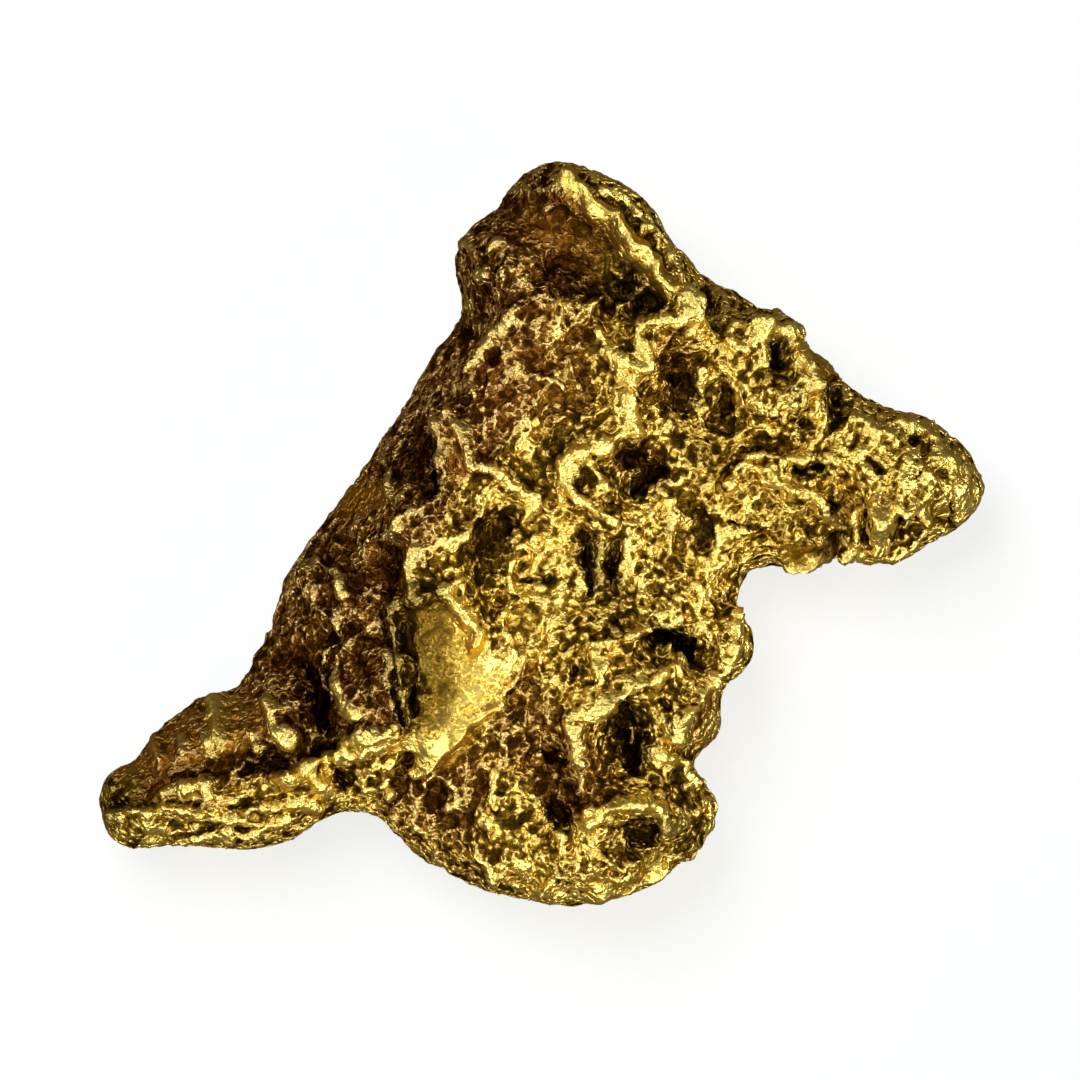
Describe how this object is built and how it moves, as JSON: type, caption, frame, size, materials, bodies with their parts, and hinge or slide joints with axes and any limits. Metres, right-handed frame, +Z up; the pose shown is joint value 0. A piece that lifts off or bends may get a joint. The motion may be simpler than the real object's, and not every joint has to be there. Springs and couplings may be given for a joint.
{
  "type": "gold nugget",
  "caption": "Irregular waterworn lump of native gold with a dished head, a side arm, a pointed foot and a pitted, granular skin; lies loose on its worn underside.",
  "frame": {"origin": "middle of the bounding box in plan, on the table that the nugget lies on", "axes": "+Z up from the table; +X along the longest extent, from the pointed foot towards the side arm; +Y towards the dished head"},
  "size_m": [0.022, 0.0186, 0.0056],
  "materials": {
    "gold": "native gold, waterworn: bright on crests and worn folds, granular and matt in the pits, with brown iron staining on one flank"
  },
  "bodies": {
    "root": {"nugget": "gold"}
  },
  "joints": []
}
